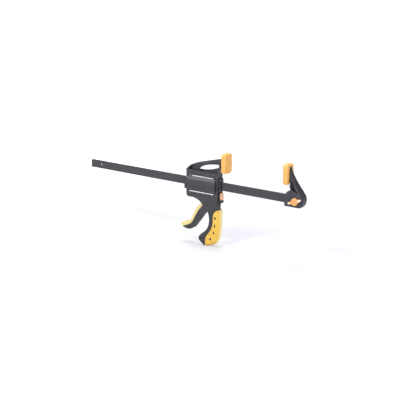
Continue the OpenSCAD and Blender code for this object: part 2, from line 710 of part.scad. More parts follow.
guide_low = -bar_h / 2 - saddle_drop;
guide_high = bar_h / 2 + guide_top;
peg_x = -body_l + 4.8;
peg_z = -8.3;
peg_l = barrel_w - 1.2;                    // from end to end, just under the barrel's face
module rear_guide_room() {
    box(-body_l - 1, chamber_x0, -guide_w / 2, guide_w / 2, guide_low, guide_high);
    rod(peg_x, peg_z, peg_d / 2, wide);
}
module rear_guide() color([0.22, 0.22, 0.23]) on_housing() difference() {
    union() {
        box(-body_l, chamber_x0, -guide_w / 2, guide_w / 2, guide_low, guide_high);
        box(-body_l - rear_guide_out, -body_l, -guide_w / 2, guide_w / 2, guide_low, -bar_h / 2 + 3);
        translate([chamber_x0, 0, 0]) rotate([0, 90, 0]) cylinder(h = flange_t, r = chamber_r);
        rod(peg_x, peg_z, peg_d / 2, peg_l);
    }
    bar_window(-body_l - wide, 0, slide_fit);
}

front_low = -bar_h / 2 - front_drop;
front_high = bar_h / 2 + guide_top + 2;
module front_guide_room() {
    box(-end_wall, 1, -guide_w / 2, guide_w / 2, front_low, front_high);
}
module front_guide() color([0.2, 0.2, 0.21]) on_housing() difference() {
    union() {
        box(-end_wall, front_guide_out, -guide_w / 2, guide_w / 2, front_low, front_high);
        box(-end_wall - 1.2, -end_wall, -guide_w / 2 - side_fit / 2, guide_w / 2 + side_fit / 2,
            front_low - 0.8, block_z - gap);
    }
    bar_window(-wide, wide, slide_fit);
}

module pivot_pin() color([0.6, 0.6, 0.62]) on_housing()
    rod(-pivot_x, -pivot_z, pivot_d / 2, pin_l(handle_w));
module release_pin() color([0.6, 0.6, 0.62]) on_housing()
    rod(-release_x, -release_z, release_d / 2, pin_l(handle_w));

module drive_spring() color([0.62, 0.62, 0.64]) on_housing() translate([spring_seat_x, 0, 0])
    spring(drive_back - spring_seat_x, drive_spring_r, drive_wire, drive_turns);

// Where the tilted brake plate's back face is at a depth z under the bar's centreline.
function brake_back(z) = -brake_x + (brake_z + z) * tan(brake_tilt)
                         - brake_t / 2 / cos(brake_tilt);
module brake_spring() color([0.62, 0.62, 0.64]) on_housing() translate([rib_x, 0, -brake_spring_z])
    spring(brake_back(brake_spring_z - brake_spring_r) - rib_x, brake_spring_r, brake_wire,
           brake_turns);

// ---------- the four moving pieces in the carriage ----------

module drive_plate() difference() {
    box(0, drive_t, -plate_w / 2, plate_w / 2, -drive_drop, 19);
    bar_window(-1, drive_t + 1, plate_fit);
}
module drive_plate_front() color([0.55, 0.55, 0.57]) on_housing()
    translate([drive_face - drive_t, 0, 0]) drive_plate();
module drive_plate_rear() color([0.55, 0.55, 0.57]) on_housing()
    translate([drive_back, 0, 0]) drive_plate();

brake_lift = brake_t / 2 * sin(brake_tilt)
             + (brake_z + bar_h / 2) * (1 / cos(brake_tilt) - 1);
module brake_plate() color([0.55, 0.55, 0.57]) on_housing()
    translate([-brake_x, 0, brake_z]) rotate([0, -brake_tilt, 0]) difference() {
        union() {
            box(-brake_t / 2, brake_t / 2, -plate_w / 2, plate_w / 2, -brake_reach, 0);
            rod(0, 0, brake_t / 2, plate_w);
        }
        // the tilted slot is taller by what its slope takes up
        for (dz = [-brake_lift, 0]) translate([0, 0, -brake_z + dz])
            bar_window(-wide, wide, plate_fit);
    }

module lever() color([0.25, 0.25, 0.27]) on_housing() difference() {
    union() {
        across(lever_w) polygon(concat(lever_seam, lever_inner, [[-pivot_x + 3, -pivot_z - 4]]));
        rod(-pivot_x, -pivot_z, lever_boss_r, lever_w);
        rod(nose_x, nose_z, nose_r, lever_w);
        across(lever_w) polygon([[-pivot_x - 2, -pivot_z + 6], [nose_x - 3, nose_z - 2],
                                 [nose_x + 3, nose_z - 2], [-pivot_x + 6, -pivot_z + 3]]);
    }
    rod(-pivot_x, -pivot_z, pivot_d / 2 + pin_fit, wide);
}

module lever_grip() color([1, 0.86, 0.45]) on_housing()
    across(lever_w + 2 * strip_proud) polygon(concat(lever_outer, lever_seam));

module release_lever() color([0.27, 0.27, 0.29]) on_housing() difference() {
    union() {
        across(release_w) polygon(release_outline);
        rod(-release_x, -release_z, release_d / 2 + 2, release_w);
    }
    rod(-release_x, -release_z, release_d / 2 + pin_fit, wide);
}

module release_pad() color([0.97, 0.66, 0.38]) on_housing() intersection() {
    across(release_w) polygon(release_thumb);
    translate([0, 0, (release_top + release_low) / 2]) rotate([90, 0, 90]) linear_extrude(wide)
        round_rect(release_w, release_top - release_low, thumb_r);
}

bar();
fixed_jaw();
fixed_pad();
lock_knob();
lock_pin();
lock_ring();
shell_near();
shell_far();
grip_near();
grip_far();
moving_pad();
shell_screws();
rear_guide();
front_guide();
pivot_pin();
release_pin();
drive_spring();
brake_spring();
lever();
lever_grip();
drive_plate_front();
drive_plate_rear();
brake_plate();
release_lever();
release_pad();
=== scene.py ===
"""Quick release bar clamp, one-handed: the visual model around its CAD frame.

The frame brings every rigid piece at its exact place. This script gives those pieces their
finishes and builds the moulded, soft ones as parametric surfaces: the two pads, the halves of
the hand grip, the lever's strip, the wing knob, the release lever's thumb pad and the trim
lines. Sizes are in millimetres, measured from the housing's front or from a jaw's clamping
face; Datum turns them into the frame's metres.
"""

import logging
import math
from collections.abc import Sequence
from dataclasses import dataclass
from enum import Enum

import bpy
import numpy as np
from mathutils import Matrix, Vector


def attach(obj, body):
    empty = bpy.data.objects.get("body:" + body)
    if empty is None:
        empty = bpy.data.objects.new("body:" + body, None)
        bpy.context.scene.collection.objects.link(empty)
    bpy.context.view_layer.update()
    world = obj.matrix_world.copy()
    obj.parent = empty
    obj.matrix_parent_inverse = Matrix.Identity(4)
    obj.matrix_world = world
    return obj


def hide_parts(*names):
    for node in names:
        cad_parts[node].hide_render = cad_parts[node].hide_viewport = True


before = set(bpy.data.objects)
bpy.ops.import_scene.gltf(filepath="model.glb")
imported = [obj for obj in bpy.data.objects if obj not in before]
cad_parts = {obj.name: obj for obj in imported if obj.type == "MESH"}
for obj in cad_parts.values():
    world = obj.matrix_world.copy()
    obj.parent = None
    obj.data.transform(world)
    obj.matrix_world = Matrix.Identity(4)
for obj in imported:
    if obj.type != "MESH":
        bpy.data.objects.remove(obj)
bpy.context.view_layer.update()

log = logging.getLogger("clamp")
MM = 0.001
CREASE = 35.0  # edges sharper than this many degrees stay sharp
Triple = tuple[float, float, float]
Rgb = Triple
Point = tuple[float, float]
Line = tuple[Point, ...]
Span = tuple[float, float, float, float]


class Body(Enum):
    """The clamp's moving bodies."""

    BAR = "bar_unit"
    LOCK = "lock"
    CARRIAGE = "carriage"
    LEVER = "squeeze_lever"
    RELEASE = "release"


class Slot(Enum):
    """The record's material slots."""

    BLACK_PLASTIC = "black_plastic"
    ORANGE_PAD = "orange_pad"
    ORANGE_PLASTIC = "orange_plastic"
    YELLOW_GRIP = "yellow_grip"


class Side(Enum):
    """The two sides of the clamp, as the sign of Y."""

    NEAR = -1
    FAR = 1


class Axis(Enum):
    """The axis along which a slab is thick, with the axes of its outline."""

    X = (0, (1, 2))
    Y = (1, (0, 2))


@dataclass(frozen=True)
class Datum:
    """A corner from which a sub-assembly's millimetres are measured."""

    x: float
    z: float

    def place(self, points: np.ndarray) -> np.ndarray:
        """Millimetre points from this datum, x, y, z on the last axis, as the frame's metres."""
        return (points + np.array([self.x, 0.0, self.z])) * MM


HOUSING = Datum(-177.5, -56.5)
BAR_LINE = Datum(0.0, -56.5)
MOVING_FACE = Datum(-153.5, 0.0)
FIXED_FACE = Datum(0.0, 0.0)


# ---------- curves ----------


def spline(points: Sequence[Point], steps: int = 12) -> np.ndarray:
    """A Catmull-Rom spline: each span is the cubic through its two ends whose slopes there are
    half the way between the neighbouring points.

    Args:
        points: Points to pass through.
        steps: Samples in each span.

    Returns:
        Array (n, 2) of points on the curve.
    """
    p = np.pad(np.asarray(points, float), ((1, 1), (0, 0)), mode="edge")
    a, b, c, d = (p[i : len(p) - 3 + i, None, :] for i in range(4))
    t = (np.arange(steps) / steps)[None, :, None]
    curve = 0.5 * (
        2 * b
        + (c - a) * t
        + (2 * a - 5 * b + 4 * c - d) * t**2
        + (3 * b - a - 3 * c + d) * t**3
    )
    return np.vstack([curve.reshape(-1, 2), p[-1:]])


def resample(curve: np.ndarray, count: int, closed: bool = False) -> np.ndarray:
    """Spreads points evenly along a curve: each coordinate is interpolated over arc length.

    Args:
        curve: Array (n, 2) of points.
        count: How many points to return.
        closed: Whether the last point joins the first.

    Returns:
        Array (count, 2).
    """
    line = np.vstack([curve, curve[:1]]) if closed else curve
    run = np.concatenate(
        [[0.0], np.cumsum(np.hypot(*np.diff(line, axis=0).T))]
    )
    at = np.linspace(0.0, run[-1], count, endpoint=not closed)
    return np.column_stack([np.interp(at, run, line[:, k]) for k in (0, 1)])


def outward(loop: np.ndarray) -> np.ndarray:
    """Unit normals of a closed outline, pointing out of it: the chord between a point's two
    neighbours, turned by a right angle away from the enclosed area.

    Args:
        loop: Array (n, 2), the outline in order.

    Returns:
        Array (n, 2) of normals.
    """
    chord = np.roll(loop, -1, axis=0) - np.roll(loop, 1, axis=0)
    normal = np.column_stack([chord[:, 1], -chord[:, 0]])
    normal /= np.linalg.norm(normal, axis=1, keepdims=True)
    x, y = loop.T
    area = np.sum(x * np.roll(y, -1) - np.roll(x, -1) * y)
    return normal * np.sign(area)


def rounded_rectangle(width: float, height: float, radius: float, count: int) -> np.ndarray:
    """A centred rectangle with round corners: four quarter circles joined by straight lines,
    with its points spread evenly.

    Args:
        width: Size along the first axis.
        height: Size along the second axis.
        radius: Corner radius.
        count: Number of points.

    Returns:
        Array (count, 2).
    """
    angle = np.linspace(0.0, math.pi / 2, 13)
    corners = [
        np.column_stack([np.cos(angle + q * math.pi / 2), np.sin(angle + q * math.pi / 2)])
        * radius
        + np.array([sx * (width / 2 - radius), sy * (height / 2 - radius)])
        for q, (sx, sy) in enumerate([(1, 1), (-1, 1), (-1, -1), (1, -1)])
    ]
    return resample(np.vstack(corners), count, closed=True)


def ease(value: np.ndarray) -> np.ndarray:
    """A soft step from 0 to 1: three squares less two cubes of the clipped value."""
    t = np.clip(value, 0.0, 1.0)
    return t * t * (3.0 - 2.0 * t)


def quarter_round(value: np.ndarray) -> np.ndarray:
    """A quarter circle's rise from 0 to 1: the root of one less the squared distance left."""
    return np.sqrt(np.clip(1.0 - (1.0 - np.clip(value, 0.0, 1.0)) ** 2, 0.0, 1.0))


# ---------- meshes ----------


@dataclass
class Skin:
    """A closed surface from a grid of points: rows of rings, with a flat cap at each end."""

    name: str
    rings: np.ndarray
    crease: float = CREASE

    def _faces(self) -> tuple[np.ndarray, np.ndarray]:
        """The quads between neighbouring rings and the two end rings.

        Returns:
            Arrays of quads (n, 4) and of caps (2, ring length).
        """
        rows, cols = self.rings.shape[:2]
        index = np.arange(rows * cols).reshape(rows, cols)
        after = np.roll(index, -1, axis=1)
        quads = np.stack([index[:-1], after[:-1], after[1:], index[1:]], axis=-1)
        return quads.reshape(-1, 4), np.stack([index[0][::-1], index[-1]])

    def _volume(self, quads: np.ndarray, caps: np.ndarray) -> float:
        """Six times the enclosed volume, from the triple products of a fan on every face.

        Args:
            quads: Array (n, 4) of corner numbers.
            caps: Array (2, m) of corner numbers.

        Returns:
            The signed value, positive where faces point outwards.
        """
        points = self.rings.reshape(-1, 3)
        points = points - points.mean(axis=0)

        def fan(faces: np.ndarray) -> float:
            """Sum of the triple products of one set of faces."""
            first = points[faces[:, :1]]
            second, third = points[faces[:, 1:-1]], points[faces[:, 2:]]
            return float(np.sum(np.cross(second, third) * first))

        return fan(quads) + fan(caps)

    def build(self) -> bpy.types.Object:
        """Makes the object, with its faces pointing outwards.

        Returns:
            The new object, at the origin.
        """
        quads, caps = self._faces()
        if self._volume(quads, caps) < 0:
            quads, caps = quads[:, ::-1], caps[:, ::-1]
        mesh = bpy.data.meshes.new(self.name)
        points = self.rings.reshape(-1, 3)
        loops = np.concatenate([quads.ravel(), caps.ravel()])
        sizes = np.concatenate([np.full(len(quads), 4), np.full(2, caps.shape[1])])
        mesh.vertices.add(len(points))
        mesh.vertices.foreach_set("co", points.astype(np.float32).ravel())
        mesh.loops.add(len(loops))
        mesh.loops.foreach_set("vertex_index", loops.astype(np.int32))
        mesh.polygons.add(len(sizes))
        starts = np.concatenate([[0], np.cumsum(sizes)[:-1]])
        mesh.polygons.foreach_set("loop_start", starts.astype(np.int32))
        mesh.update(calc_edges=True)
        mesh.validate()
        mesh.shade_smooth()
        mesh.set_sharp_from_angle(angle=math.radians(self.crease))
        piece = bpy.data.objects.new(self.name, mesh)
        bpy.context.scene.collection.objects.link(piece)
        return piece


@dataclass
class Slab:
    """An outline with thickness whose two edges are rolled over.

    The rings run from one face to the other. At each ring the outline is drawn in along its
    normals by the edge radius times one less the cosine of the roll, while its height follows
    the sine, so the edge is a quarter circle.
    """

    name: str
    outline: np.ndarray
    low: float
    high: float
    radius: float
    axis: Axis
    arc: int = 8

    def rings(self) -> np.ndarray:
        """Works the grid out.

        Returns:
            Array (rows, n, 3) in millimetres.
        """
        roll = np.linspace(0.0, math.pi / 2, self.arc)
        inset = self.radius * (1.0 - np.sin(roll))
        rise = self.radius * (1.0 - np.cos(roll))
        heights = np.concatenate([self.low + rise, (self.high - rise)[::-1]])
        insets = np.concatenate([inset, inset[::-1]])
        flat = self.outline[None] - insets[:, None, None] * outward(self.outline)[None]
        thick, (first, second) = self.axis.value
        grid = np.zeros((*flat.shape[:2], 3))
        grid[..., first], grid[..., second] = flat[..., 0], flat[..., 1]
        grid[..., thick] = heights[:, None]
        return grid

    def build(self, datum: Datum) -> bpy.types.Object:
        """Makes the object, with its sizes measured from the datum."""
        return Skin(self.name, datum.place(self.rings())).build()


def carve(piece: bpy.types.Object, cutter: bpy.types.Object) -> None:
    """Takes a cutter's body out of a piece for good, and removes the cutter.

    Args:
        piece: What is cut.
        cutter: A closed mesh.
    """
    cut = piece.modifiers.new("slot", "BOOLEAN")
    cut.operation, cut.solver, cut.object = "DIFFERENCE", "EXACT", cutter
    shape = piece.evaluated_get(bpy.context.evaluated_depsgraph_get())
    mesh = bpy.data.meshes.new_from_object(shape)
    piece.modifiers.clear()
    piece.data = mesh
    mesh.name = piece.name
    mesh.set_sharp_from_angle(angle=math.radians(CREASE))
    bpy.data.objects.remove(cutter)


# ---------- finishes ----------


class Nodes:
    """The emptied node tree of a material or of the surroundings."""

    def __init__(self, owner: bpy.types.Material | bpy.types.World) -> None:
        """Empties the owner's tree.

        Args:
            owner: What the tree belongs to.
        """
        owner.use_nodes = True
        self.tree = owner.node_tree
        self.tree.nodes.clear()

    def add(self, kind: str, *values: object, **settings: object) -> bpy.types.Node:
        """Adds a node, sets its properties and then feeds its first inputs.

        Args:
            kind: Blender's name for the node.
            *values: What its first inputs get, in order.
            **settings: Property names and values.

        Returns:
            The node.
        """
        made = self.tree.nodes.new(kind)
        for key, value in settings.items():
            setattr(made, key, value)
        for socket, value in zip(made.inputs, values):
            self.feed(socket, value)
        return made

    def feed(self, socket: bpy.types.NodeSocket, value: object) -> None:
        """Links a socket to an output, or sets its constant.

        Args:
            socket: The input.
            value: An output socket, a number, or a colour or vector.
        """
        if isinstance(value, bpy.types.NodeSocket):
            self.tree.links.new(value, socket)
        elif isinstance(value, tuple) and len(value) == 3 and socket.type == "RGBA":
            socket.default_value = (*value, 1.0)
        else:
            socket.default_value = value

    def calc(self, kind: str, *values: object) -> bpy.types.NodeSocket:
        """The output of a Math node, from its operation and its inputs in order."""
        return self.add("ShaderNodeMath", *values, operation=kind).outputs[0]

    def ramp(
        self, value: object, low: float, high: float, to_low: float = 0.0, to_high: float = 1.0
    ) -> bpy.types.NodeSocket:
        """A soft ramp of one range onto another, held at its ends.

        Args:
            value: What is mapped.
            low: Where the ramp begins.
            high: Where it ends.
            to_low: The result at its beginning.
            to_high: The result at its end.

        Returns:
            The output.
        """
        values = (value, low, high, to_low, to_high)
        made = self.add("ShaderNodeMapRange", *values, interpolation_type="SMOOTHSTEP")
        return made.outputs["Result"]


class Graph(Nodes):
    """A material's node tree around one Principled shader."""

    def __init__(self, name: str) -> None:
        """Starts the tree.

        Args:
            name: The material's name.
        """
        self.material = bpy.data.materials.new(name)
        super().__init__(self.material)
        self.shader = self.add("ShaderNodeBsdfPrincipled")
        self.add("ShaderNodeOutputMaterial", self.shader.outputs["BSDF"])
        self.place = self.add("ShaderNodeTexCoord").outputs["Object"]

    def axis(self, name: str) -> bpy.types.NodeSocket:
        """One coordinate, X, Y or Z, of the place on the piece, in metres."""
        return self.add("ShaderNodeSeparateXYZ", self.place).outputs[name]

    def stretched(self, scale: Triple) -> bpy.types.NodeSocket:
        """The place on the piece with its axes stretched.

        Args:
            scale: Factor on each axis.

        Returns:
            The vector.
        """
        made = self.add("ShaderNodeMapping", self.place)
        made.inputs["Scale"].default_value = scale
        return made.outputs["Vector"]

    def noise(
        self, size: float, detail: float = 2.0, where: bpy.types.NodeSocket | None = None
    ) -> bpy.types.NodeSocket:
        """Cloudy noise.

        Args:
            size: Typical size of a cloud in millimetres.
            detail: Octaves.
            where: Vector to read, or the plain place.

        Returns:
            The noise, 0 to 1.
        """
        made = self.add("ShaderNodeTexNoise", where or self.place)
        made.inputs["Scale"].default_value = 1.0 / (size * MM)
        made.inputs["Detail"].default_value = detail
        return made.outputs["Fac"]

    def pebbles(self, size: float) -> bpy.types.NodeSocket:
        """Small rounded cells, as a mould's leather grain.

        Args:
            size: Cell size in millimetres.

        Returns:
            Distance from the cell's middle.
        """
        made = self.add("ShaderNodeTexVoronoi", self.place, feature="SMOOTH_F1")
        made.inputs["Scale"].default_value = 1.0 / (size * MM)
        return made.outputs["Distance"]

    def blend(self, factor: object, first: object, second: object) -> bpy.types.NodeSocket:
        """A mix of two colours.

        Args:
            factor: 0 for the first, 1 for the second.
            first: Colour or output.
            second: Colour or output.

        Returns:
            The colour.
        """
        made = self.add("ShaderNodeMix", factor, data_type="RGBA")
        self.feed(made.inputs[6], first)
        self.feed(made.inputs[7], second)
        return made.outputs[2]

    def relief(self, height: object, depth: float, edge: float = 0.0) -> bpy.types.NodeSocket:
        """A bump over edges that look rounded.

        Args:
            height: The relief, 0 to 1.
            depth: Its depth in millimetres.
            edge: Radius of the softened edges in millimetres.

        Returns:
            The normal.
        """
        bump = self.add("ShaderNodeBump")
        self.feed(bump.inputs["Height"], height)
        bump.inputs["Distance"].default_value = depth * MM
        if edge > 0:
            soft = self.add("ShaderNodeBevel", samples=4)
            soft.inputs["Radius"].default_value = edge * MM
            self.feed(bump.inputs["Normal"], soft.outputs["Normal"])
        return bump.outputs["Normal"]

    def set(self, **sockets: object) -> bpy.types.Material:
        """Feeds the shader's sockets, by their names with blanks for underscores.

        Args:
            **sockets: Outputs, or constants that go straight onto the socket.

        Returns:
            The material.
        """
        for name, value in sockets.items():
            self.feed(self.shader.inputs[name.replace("_", " ")], value)
        return self.material


@dataclass(frozen=True)
class MouldedPlastic:
    """Spark-eroded black plastic, with the parting line of its two halves where asked."""

    name: str
    color: Rgb
    roughness: float = 0.5
    grain: float = 0.35
    depth: float = 0.03
    drift: float = 0.25
    edge: float = 0.5
    parting: bool = False
    specular: float = 0.4

    def build(self) -> bpy.types.Material:
        """Makes the material.

        Returns:
            The material.
        """
        g = Graph(self.name)
        clouds = g.noise(14.0, 3.0)
        grain = g.noise(self.grain, 3.0)
        worn = tuple(c * (1 + self.drift) + 0.004 for c in self.color)
        deep = tuple(c * (1 - self.drift) for c in self.color)
        color = g.blend(g.ramp(clouds, 0.3, 0.7), deep, worn)
        color = g.blend(g.ramp(grain, 0.35, 0.75, 0.0, 0.35), color, worn)
        height = grain
        if self.parting:
            line = g.ramp(g.calc("ABSOLUTE", g.axis("Y")), 0.08 * MM, 0.26 * MM)
            color = g.blend(line, (0.01, 0.01, 0.011), color)
            height = g.calc("MULTIPLY", grain, line)
        rough = g.ramp(g.noise(3.0), 0.25, 0.75, self.roughness - 0.07, self.roughness + 0.07)
        return g.set(
            Base_Color=color,
            Roughness=rough,
            Specular_IOR_Level=self.specular,
            Normal=g.relief(height, self.depth, self.edge),
        )


@dataclass(frozen=True)
class SoftRubber:
    """Soft moulded rubber: a fine pebble grain, cloudy tone and a powdery sheen.

    Where a pale colour is set, the tone pales towards the middle plane, on the rounded front, as a
    painted sheen.
    """

    name: str
    color: Rgb
    shade: Rgb
    roughness: float = 0.6
    grain: float = 0.5
    depth: float = 0.04
    sheen: float = 0.15
    pale: Rgb | None = None
    painted_sheen_half: float = 9.0

    def build(self) -> bpy.types.Material:
        """Makes the material.

        Returns:
            The material.
        """
        g = Graph(self.name)
        cells = g.pebbles(self.grain)
        tone = g.calc("ADD", g.ramp(g.noise(9.0, 3.0), 0.3, 0.7, 0.0, 0.45),
                     g.ramp(cells, 0.35, 0.7, 0.0, 0.3))
        rough = g.ramp(g.noise(2.0), 0.25, 0.75, self.roughness - 0.08, self.roughness + 0.08)
        color = g.blend(tone, self.color, self.shade)
        if self.pale:
            # painted sheen: the colour pales near the middle plane, on the rounded front
            near = g.ramp(g.calc("ABSOLUTE", g.axis("Y")), 0.0, self.painted_sheen_half * MM, 1.0, 0.0)
            color = g.blend(near, color, self.pale)
        g.set(Sheen_Weight=self.sheen, Sheen_Roughness=0.3, Specular_IOR_Level=0.35)
        return g.set(
            Base_Color=color,
            Roughness=rough,
            Normal=g.relief(g.calc("SUBTRACT", 1.0, cells), self.depth),
        )


@dataclass(frozen=True)
class KnobPlastic:
    """Satin moulded plastic whose colour pales away from an axis along Y, as painted light and
    shade.
    """

    name: str
    color: Rgb
    pale: Rgb
    centre: Point
    start: float
    stop: float
    roughness: float = 0.35

    def build(self) -> bpy.types.Material:
        """Makes the material.

        Returns:
            The material.
        """
        g = Graph(self.name)
        dx = g.calc("SUBTRACT", g.axis("X"), self.centre[0] * MM)
        dz = g.calc("SUBTRACT", g.axis("Z"), self.centre[1] * MM)
        square = g.calc("ADD", g.calc("MULTIPLY", dx, dx), g.calc("MULTIPLY", dz, dz))
        away = g.calc("SQRT", square)
        # painted light: the colour pales with the distance from the axis
        painted_light_mask = g.ramp(away, self.start * MM, self.stop * MM)
        swirl = g.ramp(g.noise(5.0, 3.0), 0.3, 0.7, 0.0, 0.25)
        tinted = g.blend(swirl, self.color, tuple(c * 0.8 for c in self.color))
        return g.set(
            Base_Color=g.blend(painted_light_mask, tinted, self.pale),
            Roughness=g.ramp(g.noise(1.5), 0.3, 0.7, self.roughness - 0.05, self.roughness + 0.08),
            Coat_Weight=0.15,
            Coat_Roughness=0.25,
            Normal=g.relief(g.noise(0.4), 0.02),
        )


@dataclass(frozen=True)
class PaintedSteel:
    """Dark satin paint on rolled steel, with lengthwise streaks and paler worn edges.

    The wear begins edge_from above and below the bar's middle line and is full at edge_to.
    """

    name: str
    color: Rgb
    worn: Rgb
    roughness: float = 0.42
    edge_from: float = 8.2
    edge_to: float = 9.4

    def build(self) -> bpy.types.Material:
        """Makes the material.

        Returns:
            The material.
        """
        g = Graph(self.name)
        streaks = g.noise(0.6, 3.0, g.stretched((0.02, 1.0, 1.0)))
        clouds = g.noise(18.0, 3.0)
        off_line = g.calc("ABSOLUTE", g.calc("ADD", g.axis("Z"), -BAR_LINE.z * MM))
        edge = g.ramp(off_line, self.edge_from * MM, self.edge_to * MM)
        wear = g.calc("MULTIPLY", edge, g.ramp(g.noise(2.5, 4.0), 0.45, 0.75))
        tone = g.blend(g.ramp(streaks, 0.3, 0.7, 0.0, 0.5), self.color,
                       tuple(c * 1.35 for c in self.color))
        tone = g.blend(g.ramp(clouds, 0.3, 0.75, 0.0, 0.3), tone,
                       tuple(c * 0.75 for c in self.color))
        rough = g.ramp(streaks, 0.2, 0.8, self.roughness - 0.08, self.roughness + 0.1)
        return g.set(
            Base_Color=g.blend(wear, tone, self.worn),
            Roughness=rough,
            Metallic=0.25,
            Normal=g.relief(streaks, 0.015, 0.5),
        )


@dataclass(frozen=True)
class BareSteel:
    """Bare steel, drawn, turned or blanked: streaks run along one axis."""

    name: str
    color: Rgb
    roughness: float
    along: Triple
    stain: float = 0.3

    def build(self) -> bpy.types.Material:
        """Makes the material.

        Returns:
            The material.
        """
        g = Graph(self.name)
        streaks = g.noise(0.5, 3.0, g.stretched(self.along))
        stains = g.ramp(g.noise(6.0, 4.0), 0.4, 0.75, 0.0, self.stain)
        color = g.blend(stains, self.color, tuple(c * 0.45 for c in self.color))
        rough = g.ramp(streaks, 0.2, 0.8, self.roughness - 0.1, self.roughness + 0.1)
        return g.set(
            Base_Color=color,
            Roughness=rough,
            Metallic=1.0,
            Normal=g.relief(streaks, 0.01, 0.2),
        )


@dataclass(frozen=True)
class TrimPaint:
    """Pale printed trim, slightly broken up by the grain under it."""

    name: str
    color: Rgb
    shade: Rgb

    def build(self) -> bpy.types.Material:
        """Makes the material.

        Returns:
            The material.
        """
        g = Graph(self.name)
        broken = g.ramp(g.noise(1.2, 3.0), 0.35, 0.7)
        return g.set(
            Base_Color=g.blend(broken, self.color, self.shade),
            Roughness=g.ramp(g.noise(0.5), 0.3, 0.7, 0.35, 0.5),
            Normal=g.relief(g.noise(0.35), 0.02),
        )


@dataclass(frozen=True)
class Finishes:
    """All finishes of the clamp, one per kind of surface."""

    shell: MouldedPlastic = MouldedPlastic(
        "shell_plastic", (0.026, 0.025, 0.031), roughness=0.34, parting=True, specular=0.5
    )
    jaw: MouldedPlastic = MouldedPlastic("jaw_plastic", (0.036, 0.034, 0.042), roughness=0.42)
    lever: MouldedPlastic = MouldedPlastic("lever_plastic", (0.038, 0.037, 0.042))
    guide: MouldedPlastic = MouldedPlastic(
        "guide_plastic_finish", (0.03, 0.03, 0.033), roughness=0.38, grain=0.6
    )
    pad: SoftRubber = SoftRubber("pad_rubber", (0.86, 0.46, 0.135), (0.79, 0.39, 0.105), sheen=0.9)
    # the grip's pale colour is a painted sheen on its rounded front
    grip: SoftRubber = SoftRubber(
        "grip_rubber", (0.8, 0.51, 0.085), (0.73, 0.45, 0.07), sheen=0.7, pale=(0.92, 0.78, 0.38)
    )
    strip: SoftRubber = SoftRubber("strip_rubber", (0.78, 0.65, 0.3), (0.72, 0.59, 0.26), sheen=0.8)
    # the knob's pale wing tips are a painted highlight
    knob: KnobPlastic = KnobPlastic(
        "knob_plastic", (0.84, 0.4, 0.135), (0.95, 0.78, 0.64), (31.6, -57.7), 9.0, 13.5
    )
    # the release cushion's deeper colour at its lower back is painted shade, its paler rest painted
    # light
    release: KnobPlastic = KnobPlastic(
        "release_plastic", (0.76, 0.34, 0.16), (0.74, 0.42, 0.25), (-176.0, -90.0), 3.0, 9.0
    )
    bar: PaintedSteel = PaintedSteel("bar_paint", (0.042, 0.04, 0.047), (0.15, 0.15, 0.16))
    turned: BareSteel = BareSteel("turned_steel", (0.6, 0.6, 0.62), 0.3, (1.0, 0.05, 1.0))
    blanked: BareSteel = BareSteel("blanked_steel", (0.42, 0.42, 0.44), 0.42, (1.0, 1.0, 0.05))
    drawn: BareSteel = BareSteel("drawn_steel", (0.55, 0.55, 0.57), 0.3, (0.3, 1.0, 1.0))
    black_oxide: BareSteel = BareSteel("black_oxide", (0.1, 0.1, 0.105), 0.45, (1.0, 1.0, 1.0))
    trim: TrimPaint = TrimPaint("trim_paint", (0.86, 0.86, 0.88), (0.68, 0.68, 0.71))


# ---------- sub-assemblies ----------


def settle(
    piece: bpy.types.Object,
    finish: bpy.types.Material,
    body: Body,
    stands_for: Sequence[str] = (),
) -> None:
    """Gives a new piece its finish and body, and hides the nodes that it stands for.

    Args:
        piece: The piece.
        finish: Its material.
        body: The body that it rides on.
        stands_for: Names of the CAD nodes that it replaces.
    """
    piece.data.materials.clear()
    piece.data.materials.append(finish)
    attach(piece, body.value)
    if stands_for:
        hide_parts(*stands_for)
    log.info("%s: %d faces on %s", piece.name, len(piece.data.polygons), body.value)


def coat(finish: bpy.types.Material, *nodes: str) -> None:
    """Puts a finish on CAD nodes that keep their shape.

    Args:
        finish: The material.
        *nodes: Their names.
    """
    for name in nodes:
        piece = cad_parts[name]
        piece.data.materials.clear()
        piece.data.materials.append(finish)
        log.info("%s: %s", name, finish.name)


@dataclass
class Pad:
    """A soft pad that slides on a jaw's head, with its clamping face at x = 0.

    The body is a rounded rectangle carried through its thickness with rolled edges; a slot for
    the head and its stem is carved from the back and open below.
    """

    name: str
    node: str
    body: Body
    datum: Datum
    facing: int
    width: float = 29.0
    height: float = 47.0
    thickness: float = 12.5
    corner: float = 7.0
    roll: float = 2.5
    lip: float = 2.5
    head_plate: float = 3.5
    head_width: float = 14.0
    head_height: float = 36.0
    stem: float = 10.0
    around: int = 160

    def _slot_outline(self) -> np.ndarray:
        """The slot seen from above, [x, y]: a stem's neck that widens to the head's plate.

        Returns:
            Array (8, 2).
        """
        back = -self.thickness
        rear, front = back + self.lip, back + self.lip + self.head_plate
        stem, head = self.stem / 2, self.head_width / 2
        half = [(back - 1, stem), (rear, stem), (rear, head), (front, head)]
        return np.array(half + [(x, -y) for x, y in reversed(half)])

    def build(self) -> bpy.types.Object:
        """Builds the pad with its slot.

        Returns:
            The pad.
        """
        outline = rounded_rectangle(self.width, self.height, self.corner, self.around)
        slab = Slab(self.name, outline, -self.thickness, 0.0, self.roll, Axis.X)
        rings = slab.rings()
        rings[..., 0] *= self.facing
        piece = Skin(self.name, self.datum.place(rings)).build()
        plan = self._slot_outline()
        levels = np.array([-self.height / 2 - 2.0, self.head_height / 2])
        block = np.zeros((2, len(plan), 3))
        block[..., 0], block[..., 1] = plan[:, 0] * self.facing, plan[:, 1]
        block[..., 2] = levels[:, None]
        carve(piece, Skin("slot_cutter", self.datum.place(block)).build())
        return piece

    def dress(self, finish: bpy.types.Material) -> None:
        """Builds the pad in its rubber and puts it in the place of its node."""
        settle(self.build(), finish, self.body, [self.node])


